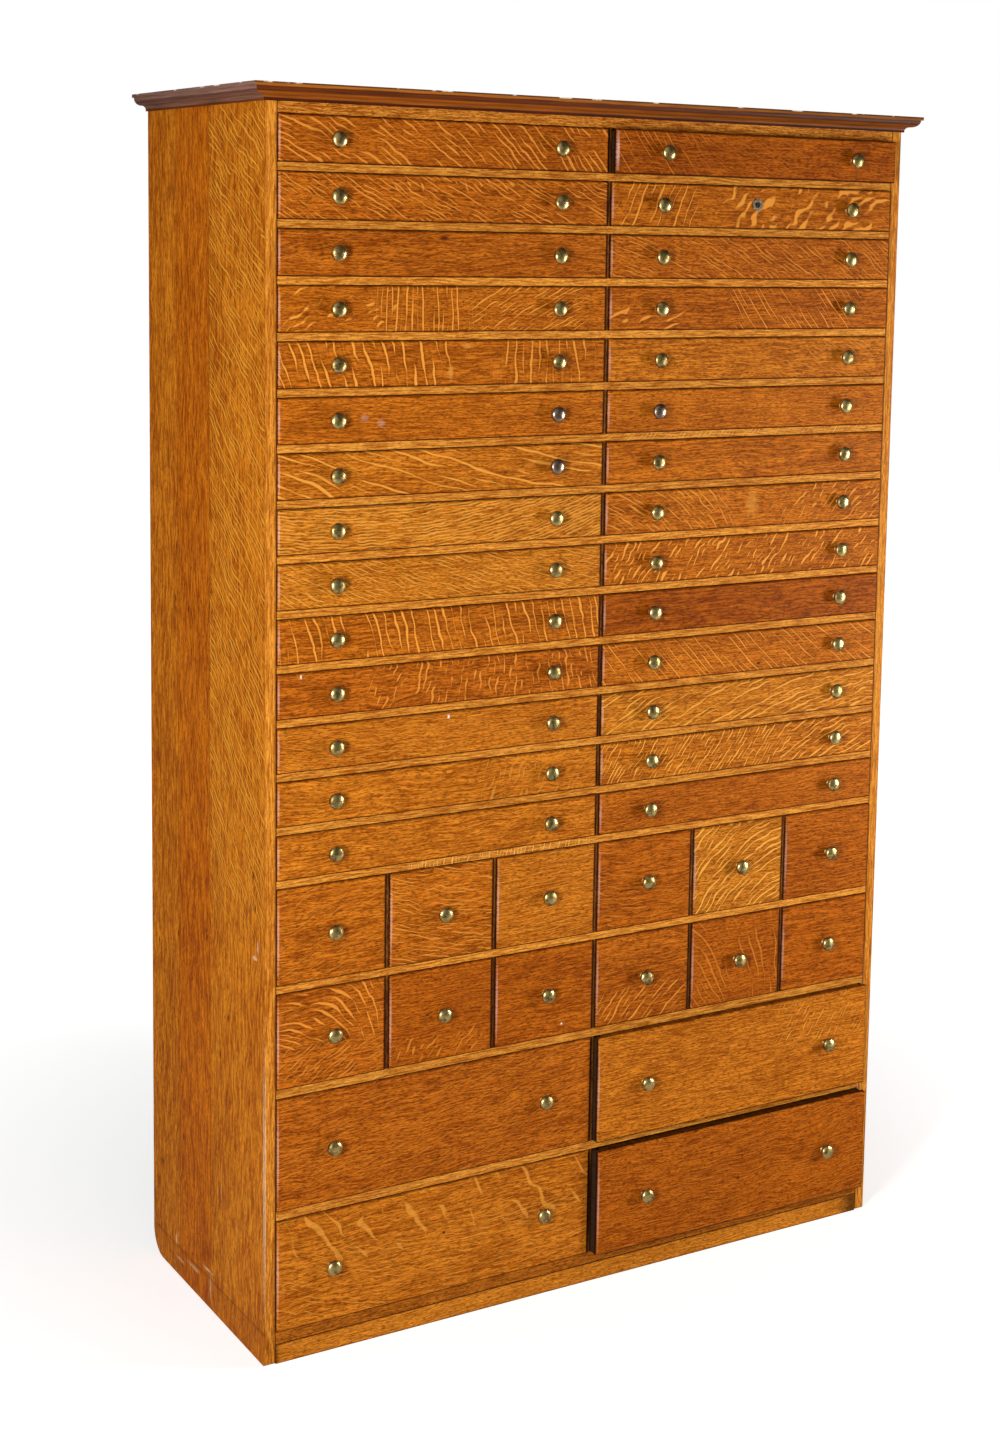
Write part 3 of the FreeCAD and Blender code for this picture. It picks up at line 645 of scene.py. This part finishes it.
brass = brassMaterial("turnedBrassAged", "#cfb776", "#6c5830")
brassGrey = brassMaterial("turnedBrassWornToPewter", "#a08c7c", "#5c4a3e")
pineAcross = pineMaterial("planedPineAcross", "XZY")
pineDeep = pineMaterial("planedPineDeep", "YZX")
pineUp = pineMaterial("planedPineUpright", "ZXY")
pineSide = pineMaterial("planedPineDrawerSide", "YZX", pine["blackTo"])
print("brass and pine made")


def turnedKnob(place):
    bm = bmesh.new()
    rings = []
    count = knobShape["facets"]
    for radius, out in knobShape["profile"][:-1]:
        ring = []
        for n in range(count):
            turn = 2 * math.pi * n / count
            spot = Vector((radius * math.cos(turn), -out, radius * math.sin(turn)))
            ring.append(bm.verts.new(place + spot * mm))
        rings.append(ring)
    tip = bm.verts.new(place + Vector((0, -knobShape["profile"][-1][1], 0)) * mm)
    for inner, outer in zip(rings, rings[1:]):
        for n in range(count):
            bm.faces.new([inner[n], inner[(n + 1) % count], outer[(n + 1) % count], outer[n]])
    for n in range(count):
        bm.faces.new([rings[-1][n], rings[-1][(n + 1) % count], tip])
    bm.faces.new(list(reversed(rings[0])))
    bmesh.ops.recalc_face_normals(bm, faces=bm.faces)
    return bm


def dressDrawer(node, look, seed):
    knobs, boards, front = [], [], None
    for bm, low, high in solidsOf(node):
        span = high - low
        if max(span) < 30 * mm:    # no other solid of a drawer is as small as a knob
            knobs.append(Vector(((low.x + high.x) / 2, high.y, (low.z + high.z) / 2)))
        elif front is None or low.y < front[1].y - 1e-6:
            if front:
                boards.append(front)
            front = (bm, low, high)
        else:
            boards.append((bm, low, high))
    bm, low, high = front
    size = ((high.x - low.x) / mm, (high.z - low.z) / mm)
    centre = ((low.x + high.x) / 2, low.y, (low.z + high.z) / 2)
    # the left corner is where a hand rubs it, pulling on the left knob
    roundEdges(bm, "rubbedCorner", lambda p: abs(p.x - low.x) < 1e-5 and abs(p.y - low.y) < 1e-5)
    roundEdges(bm, "front")
    look = {"seed": seed, "rim": frontRimShade, "depth": 2.4, "marks": [], "greyKnobs": (), "topShade": 0.0,
            "corner": (1.7, 0.55), **look}
    # painted highlight: a pale streak on the rounded left corner, where the lamp reflects
    wide, share = look["corner"]
    corner = (0.7 * wide - size[0] / 2, 0, wide, 0.6 * size[1], cornerHighlightTone, share)
    wood = oakMaterial("polishedOak_" + node, {**look, "marks": [*look["marks"], corner]}, centre, size)
    makePiece(node + "_front", [bm], [wood], node, [node])
    for part in boards:
        roundEdges(part[0], "drawerBoard")

    def boardSlot(index, face):
        # sides run from front to back; the back and the bottom run across
        span = boards[index][2] - boards[index][1]
        return 1 if span.y > span.x else 0
    makePiece(node + "_box", [part[0] for part in boards], [pineAcross, pineSide], node, [node],
              boardSlot)
    makePiece(node + "_knobs", [turnedKnob(k) for k in knobs], [brass, brassGrey], node, [node],
              lambda index, face: 1 if index in look["greyKnobs"] else 0)


for number, (node, look) in enumerate(fronts.items()):
    dressDrawer(node, look, 1.0 + 2.37 * number)
print("drawers dressed:", len(fronts))


# Carcase: marks on the rails are mm from the middle of the cabinet and above the floor

railMarks = [
    (-469, 1636, 2, 5, splitTone, 0.9), (-337, 1636, 2, 5, splitTone, 0.9),
    (-64, 1562, 6, 3, splitTone, 0.9), (-345, 1483, 6, 3, splitTone, 0.9),
    (-331, 1485, 4, 3, splitTone, 0.8), (-456, 1404, 4, 2.5, splitTone, 0.9),
    (-303, 1405, 6, 4, blackDirtAndShade, 0.95), (-385, 1097, 4, 2.5, splitTone, 0.8),
    (-218, 1098, 4, 2.5, splitTone, 0.7), (-345, 790, 8, 4, splitTone, 0.95),
    (-325, 789, 5, 3, splitTone, 0.9), (477, 1636, 2, 5, splitTone, 0.7),
    (235, 1021, 5, 3, splitTone, 0.7), (69, 1637, 3, 5, splitTone, 0.6),
    (-266, 223, 290, 12, "#c08a66", 0.6),
]
railRays = [("fine", 78, 84, (-0.62, -0.02, -0.2166, -0.2010), 0.7),
            ("fine", 40, 50, (0.05, 0.98, 0.472, 0.483), 0.6)]
sideFigure = [("flame", -38, -60, (-0.3, 1, 0.09, 1), 0.6), ("fine", -12, -20, (-0.2, 1, -0.5, 0.1), 0.3),
              ("thin", 14, 8, (-0.95, 0.0, 0.15, 1), 0.3)]
wornTone = "#e8d4bc"
# on the side boards they are mm up from half height and forwards from the middle
sideMarks = [
    (-282, 196, 14, 3, wornTone, 0.6), (-300, 186, 5, 12, wornTone, 0.5),
    (-620, 217, 280, 1.8, wornTone, 0.6), (-864, 17, 30, 5, wornTone, 0.8),
    (-842, 6, 4, 26, wornTone, 0.6), (-862, -50, 5, 34, wornTone, 0.6),
    (-846, -122, 14, 4, wornTone, 0.5), (-872, -104, 4, 30, wornTone, 0.45),
    (-700, 60, 22, 2, wornTone, 0.3), (740, -168, 7, 5, splitTone, 0.7),
    (-35, -30, 10, 2.5, splitTone, 0.6),
]
glueLines = (-106.5, 18.5)    # mm, on the same board


def dressNode(node, name, materials, edge, slotFor=None, body="carcase"):
    # slotFor picks a face's material by the box of its solid and by the face
    solids = solidsOf(node)
    for bm, low, high in solids:
        roundEdges(bm, edge)
    chooser = (lambda index, f: slotFor(*solids[index][1:], f)) if slotFor else None
    makePiece(name, [s[0] for s in solids], materials, body, [node], chooser)


def dressSide(node, sign):
    low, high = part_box(node)
    middle = ((low.x + high.x) / 2, (low.y + high.y) / 2, (low.z + high.z) / 2)
    long, deep, thick = (high.z - low.z) / mm, (high.y - low.y) / mm, (high.x - low.x) / mm
    face = oakMaterial("polishedOak_" + node, {
        "tone": "side", "seed": 40 + sign, "broad": 2.2, "wander": 26.0, "pores": 0.42, "rays": sideFigure,
        "marks": sideMarks, "joints": glueLines, "between": (*glueLines, "#f8e6c8"),
        "foot": (-852, 0.2, "#8a3c10"), "specks": (-800, 330, -205, 205)},
        middle, (long, deep), "ZYX", -1.0)
    stile = oakMaterial("polishedOakStile_" + node, {
        "tone": "stile", "seed": 11.0 + sign, "wander": 4.0, "pores": 0.4,
        # the dark rim on the drawers' side is painted shade, for the gap beside the proud fronts
        "rim": ((0.1, 0), (0.1, 0), *(((1.0, 0.3), (3.0, 0.92)) if sign < 0 else ((3.0, 0.92), (1.0, 0.3)))),
        "marks": [(-868, -3, 22, 1.5, blackDirtAndShade, 0.9), (-850, 3, 16, 1.2, blackDirtAndShade, 0.8),
                  (-620, -8.0, 280, 1.5, wornTone, 0.6)]},
        middle, (long, thick), "ZXY")
    dressNode(node, node + "_board", [face, stile], "side",
              lambda low, high, f: 1 if f.normal.y < -0.5 else 0)


dressSide("side_left", -1)
dressSide("side_right", 1)

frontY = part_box("side_left")[0].y
frontMiddle = (0, frontY, 0.9)
innerWide, frontHigh = 1058, 1800    # mm between the side boards, and up to the cornice
railFace = (innerWide, frontHigh)
topRailFrom = 1.78                   # only the rail over the top drawers stands as high as this, in m
railWood = oakMaterial("polishedOakRail", {
    "tone": "rail", "seed": 23.0, "uneven": 0.22, "wander": 9.0, "pores": 0.45, "depth": 1.0,
    "rays": railRays, "marks": railMarks}, frontMiddle, railFace)
baseWood = oakMaterial("polishedOakBase", {"tone": "base", "seed": 27.0, "depth": 1.0},
                       (0, frontY, 0.039), (innerWide, 18))
# dirt and old polish lie along the rails' corners, which no cloth reaches; their dark tone is also painted
# shade in the gaps by the drawer fronts
railEdge = oakMaterial("grimyOakRailEdge", {"tone": "railEdge", "seed": 24.0}, frontMiddle, railFace)
# the rail under the cornice has a darker tone: dirt, and painted shade from the cornice above it
topRail = oakMaterial("polishedOakTopRailShaded", {"tone": "topRail", "seed": 25.0, "depth": 1.0}, frontMiddle,
                      railFace)
for node in ("drawer_rails", "shelf_boards"):
    dressNode(node, node + "_oak", [railWood, railEdge, topRail], "rail",
              lambda low, high, f: 1 if abs(f.normal.z) > 0.3 else 2 if low.z > topRailFrom else 0)
dressNode("bottom_board", "bottom_board_oak", [baseWood], "bottom")


def dressUprights(node, name):
    # thin posts: golden in the middle of their front edges; their dark tone, dark sides and black patch low
    # down are dirt where the drawers rub and painted shade from the proud drawer fronts
    solids = solidsOf(node)
    places = sorted({round((low.x + high.x) / 2, 4) for bm, low, high in solids})
    woods = [oakMaterial(f"polishedOak_{name}_{n}", {
        "tone": "post", "seed": 31.0 + n, "uneven": 0.45, "depth": 0.8,
        "rim": ((0.1, 0), (0.1, 0), (3.4, 0.9), (2.6, 0.9)), "marks": [(-765, 0, 130, 12, blackDirtAndShade, 0.9)]},
        (x, frontY, 0.9), (frontHigh, 7), "ZXY")
        for n, x in enumerate(places)]
    dressNode(node, name, woods, "inner",
              lambda low, high, f: places.index(round((low.x + high.x) / 2, 4)))


dressUprights("centre_dividers", "centre_posts")
dressUprights("small_dividers", "small_partitions")
for node, name, wood in (("top_board", "top_board_pine", pineAcross),
                         ("drawer_runners", "runners_pine", pineDeep),
                         ("drawer_guides", "guides_pine", pineDeep),
                         ("back_boards", "back_boards_pine", pineUp)):
    dressNode(node, name, [wood], "inner")
plinthWood = oakMaterial("polishedOakPlinth", {
    # its rim is darkened, black along the top where it meets the bottom board: dirt, and painted shade in the
    # gap
    "tone": "plinth", "seed": 51.0, "depth": 1.5, "rim": ((6, 0.6), (40, 0.75), (2.5, 0.6), (3.0, 1.0))},
    (0, frontY, 0.015), (innerWide, 30))
dressNode("plinth", "plinth_oak", [plinthWood, pineAcross], "plinth",
          lambda low, high, f: 0 if high.x - low.x > 0.5 else 1)


cornice = {
    "foot": 1.8,                # m from the floor to where the moulding begins
    "grain": (70.0, 2.2, 2.2),  # mm along it, across it and into the wood
    "roughness": 0.42,
    "chipLength": 38.0,         # where it was knocked: mm along it, over its foot, and in from its edge
    "chipHeights": (22.9, 23.7),
    "chipInsets": (1.6, 0.6),
    "chipTone": "#e8d6c0",
}


def corniceMaterial(name, axes, outer, bands):
    # run oak moulding, stained dark and rubbed; its bands of colour by height are also painted light and
    # shade: pale on the swells, black in the quirks and coves.
    # outer: mm from the cabinet's middle to the moulding's outer edge
    # bands: mm over the moulding's foot, and the colour of what lies under that height
    made, tree = newMaterial(name)
    u, v, w = alongGrain(tree, (0, 0, cornice["foot"]), axes)
    place = addNode(tree, "CombineXYZ", {0: u, 1: v, 2: w})
    place = addNode(tree, "VectorMath", {0: place, 1: [1 / size for size in cornice["grain"]]},
                    operation="MULTIPLY")
    grain = addNode(tree, "TexNoise", {"Vector": place, "Scale": 1.0, "Detail": 3.0})
    height = v if axes[1] == "Z" else w
    height = addNode(tree, "Math", {0: grain, 1: 1.6, 2: height}, operation="MULTIPLY_ADD")
    reaches, bandTones = zip(*bands)
    colour = hexColour(bandTones[0])
    for reach, tone in zip(reaches, bandTones[1:]):
        share = addNode(tree, "MapRange", {0: height, 1: reach + 0.3, 2: reach + 1.3})
        colour = tinted(tree, share, colour, hexColour(tone))
    shade = addNode(tree, "MapRange", {0: grain, 1: 0.32, 2: 0.68, 3: 0.62, 4: 1.25})
    colour = tinted(tree, 1.0, colour, shade, "MULTIPLY")
    # the front darkens towards its right end, and the sides towards their back ends
    shade = addNode(tree, "MapRange", {0: u, 1: -150.0, 2: 350.0, 3: 1.0, 4: 0.7})
    colour = tinted(tree, 1.0, colour, shade, "MULTIPLY")
    # where the top edge was knocked, bare wood shows
    chip = addNode(tree, "TexNoise", {"Vector": addNode(tree, "CombineXYZ", {0: u, 1: 7.0}),
                                      "Scale": 1 / cornice["chipLength"], "Detail": 3.0})
    chip = addNode(tree, "MapRange", {0: chip, 1: 0.57, 2: 0.62})
    low, high = cornice["chipHeights"]
    top = addNode(tree, "MapRange", {0: height, 1: low, 2: high})
    chip = addNode(tree, "Math", {0: chip, 1: top}, operation="MULTIPLY")
    edge = addNode(tree, "Math", {0: w}, operation="ABSOLUTE")
    edge = addNode(tree, "Math", {0: grain, 1: 4.0, 2: edge}, operation="MULTIPLY_ADD")
    deep, shallow = cornice["chipInsets"]
    edge = addNode(tree, "MapRange", {0: edge, 1: outer - deep, 2: outer - shallow})
    chip = addNode(tree, "Math", {0: chip, 1: edge}, operation="MULTIPLY")
    colour = tinted(tree, chip, colour, hexColour(cornice["chipTone"]))
    finishMaterial(tree, {"Base Color": colour, "Roughness": cornice["roughness"], "IOR": 1.5,
                          "Specular IOR Level": 0.1}, grain, 0.2, 0.3)
    return made


corniceLow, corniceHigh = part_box("cornice_moulding")
corniceFront = corniceMaterial("stainedOakMouldingFront", "XZY", -corniceLow.y / mm, (
    (4.0, "#4a1c06"), (11.5, "#904c12"), (18.5, "#5c2808"), (21.8, "#a8621f"), (24, "#683818")))
corniceSide = corniceMaterial("stainedOakMouldingSide", "YZX", corniceHigh.x / mm, (
    (3.0, "#6e3a18"), (10.0, "#805848"), (14.0, "#694438"), (22.0, "#8c6658"), (24, "#8a6a5c")))
dressNode("cornice_moulding", "cornice_moulding_stained", [corniceFront, corniceSide],
          "cornice", lambda low, high, f: 0 if high.x - low.x > 0.5 else 1)


lockFinish = {
    "spot": 2.0,                            # mm
    "brass": ("#8f7e68", "#483b2a", 0.42),  # colour, its spots' colour, and roughness between them
    "steel": ("#443b33", "#1c1713", 0.45),
}


def lockMetal(name, colour, dark, rough):
    # brass and steel that no one polishes: dull, with dark spots
    made, tree = newMaterial(name)
    spot = addNode(tree, "TexCoord").outputs["Object"]
    spots = addNode(tree, "TexNoise", {"Vector": spot, "Scale": 1 / (lockFinish["spot"] * mm), "Detail": 4.0})
    mixed = addNode(tree, "MapRange", {0: spots, 1: 0.4, 2: 0.65})
    tint = tinted(tree, mixed, hexColour(colour), hexColour(dark))
    roughMap = addNode(tree, "MapRange", {0: mixed, 3: rough, 4: rough + 0.2})
    finishMaterial(tree, {"Base Color": tint, "Metallic": 1.0, "Roughness": roughMap}, spots, 0.2, 0.2)
    return made


lockBrass = lockMetal("dullBrassLock", *lockFinish["brass"])
lockSteel = lockMetal("dullSteelLock", *lockFinish["steel"])
for node, metal, body, slot in (("lock_case", lockBrass, "thin_drawer_02_right", "lock_brass"),
                                ("lock_plug", lockSteel, "lock_plug", "lock_steel"),
                                ("lock_bolt", lockSteel, "lock_bolt", "lock_steel")):
    dressNode(node, node + "_metal", [metal], "lock", body=body)
print("carcase, cornice and lock dressed")


# Floor, light and camera

stage = {
    "floorTone": 0.62,  # how pale the floor is
    "glowNear": 0.62,   # what the camera sees added to it: little near the cabinet, so that
    "glowFar": 1.00,    # the shadow shows, and enough farther off to lose the horizon
    "roomDark": 0.05,   # the room's own light, and how much brighter it is on the window's side
    "roomBright": 0.45,
    "windowSide": (-0.75, -0.6, 0.28),  # the direction to the window
    "floorSize": 9.0,   # m from its middle to its edge
    "lampAim": (0, -0.1, 1.0),  # m, as are the lamps' sizes
    "lampSize": (0.4, 1.2),
    "lampColour": (1.0, 0.985, 0.97),
}


def seenDirectly(tree):
    # 1 for what the camera sees, also through glass, and 0 for light that only falls on things
    path = addNode(tree, "LightPath")
    return addNode(tree, "Math", {0: path.outputs["Is Camera Ray"], 1: path.outputs["Is Transmission Ray"]},
                   operation="MAXIMUM")


def floorMaterial():
    # a pale painted floor, white to the camera but for the soft shadow round the cabinet
    made, tree = newMaterial("palePaintedFloor")
    spot = addNode(tree, "TexCoord").outputs["Object"]
    speck = addNode(tree, "TexNoise", {"Vector": spot, "Scale": 60.0})
    speck = addNode(tree, "MapRange", {0: speck, 3: stage["floorTone"] - 0.02, 4: stage["floorTone"] + 0.02})
    far = addNode(tree, "VectorMath", {0: spot}, operation="LENGTH").outputs["Value"]
    glow = addNode(tree, "MapRange", {0: far, 1: 0.6, 2: 1.9, 3: stage["glowNear"], 4: stage["glowFar"]})
    glow = addNode(tree, "Math", {0: seenDirectly(tree), 1: glow}, operation="MULTIPLY")
    matt = addNode(tree, "BsdfDiffuse", {"Color": speck})
    glow = addNode(tree, "Emission", {"Color": (1, 1, 1, 1), "Strength": glow})
    addNode(tree, "OutputMaterial", {"Surface": addNode(tree, "AddShader", {0: matt, 1: glow})})
    return made


floorMesh = bpy.data.meshes.new("studioFloor")
bm = bmesh.new()
bmesh.ops.create_grid(bm, x_segments=8, y_segments=8, size=stage["floorSize"])
bm.to_mesh(floorMesh)
bm.free()
floor = bpy.data.objects.new("studioFloor", floorMesh)
floor.location.z = cadLow.z - 0.0005
floorMesh.materials.append(floorMaterial())
inScene.link(floor)

lamps = {
    "leftBox": {"place": (-2.3, -1.9, 1.25), "watts": 71.0},
    "rightBox": {"place": (1.95, -1.5, 0.95), "watts": 40.0},
}
for name, lamp in lamps.items():
    data = bpy.data.lights.new(name, "AREA")
    data.shape = "RECTANGLE"
    data.size, data.size_y = stage["lampSize"]
    data.energy = lamp["watts"]
    data.color = stage["lampColour"]
    lampObject = bpy.data.objects.new(name, data)
    lampObject.location = lamp["place"]
    aim = Vector(stage["lampAim"]) - Vector(lamp["place"])
    lampObject.rotation_euler = aim.to_track_quat("-Z", "Y").to_euler()
    inScene.link(lampObject)

world = bpy.data.worlds.new("studioRoom")
world.use_nodes = True
tree = world.node_tree
tree.nodes.clear()
# the room is bright to the left and in front, so that the knobs shine on that side
side = addNode(tree, "TexCoord").outputs["Generated"]
side = addNode(tree, "VectorMath", {0: side, 1: stage["windowSide"]}, operation="DOT_PRODUCT")
side = addNode(tree, "MapRange", {0: side.outputs["Value"], 1: 0.25, 2: 0.95, 3: stage["roomDark"],
                                  4: stage["roomBright"]}, interpolation_type="SMOOTHSTEP")
dim = addNode(tree, "Background", {"Color": (1.0, 0.99, 0.97, 1), "Strength": side})
white = addNode(tree, "Background", {"Color": (1, 1, 1, 1), "Strength": 1.0})
mixed = addNode(tree, "MixShader", {0: seenDirectly(tree), 1: dim, 2: white})
addNode(tree, "OutputWorld", {"Surface": mixed})
bpy.context.scene.world = world

view = {"azimuth": -31.83, "elevation": 7.27, "roll": 1.120, "place": (-1.77693, -3.0425, 1.63347),
        "lens": 56.59, "shift": (-0.0665, -0.1375)}
az, el, roll = (math.radians(view[k]) for k in ("azimuth", "elevation", "roll"))
back = Vector((math.sin(az) * math.cos(el), -math.cos(az) * math.cos(el), math.sin(el)))
right = (-back).cross(Vector((0, 0, 1))).normalized()
up = right.cross(-back)
right, up = (right * math.cos(roll) + up * math.sin(roll), up * math.cos(roll) - right * math.sin(roll))
cameraData = bpy.data.cameras.new("camera")
cameraData.sensor_width = 36.0
cameraData.lens = view["lens"]
cameraData.shift_x, cameraData.shift_y = view["shift"]
camera = bpy.data.objects.new("camera", cameraData)
camera.matrix_world = Matrix.Translation(view["place"]) @ Matrix((right, up, back)).transposed().to_4x4()
inScene.link(camera)
bpy.context.scene.camera = camera
bpy.context.scene.view_settings.view_transform = "Standard"
print("floor, lamps and camera placed")
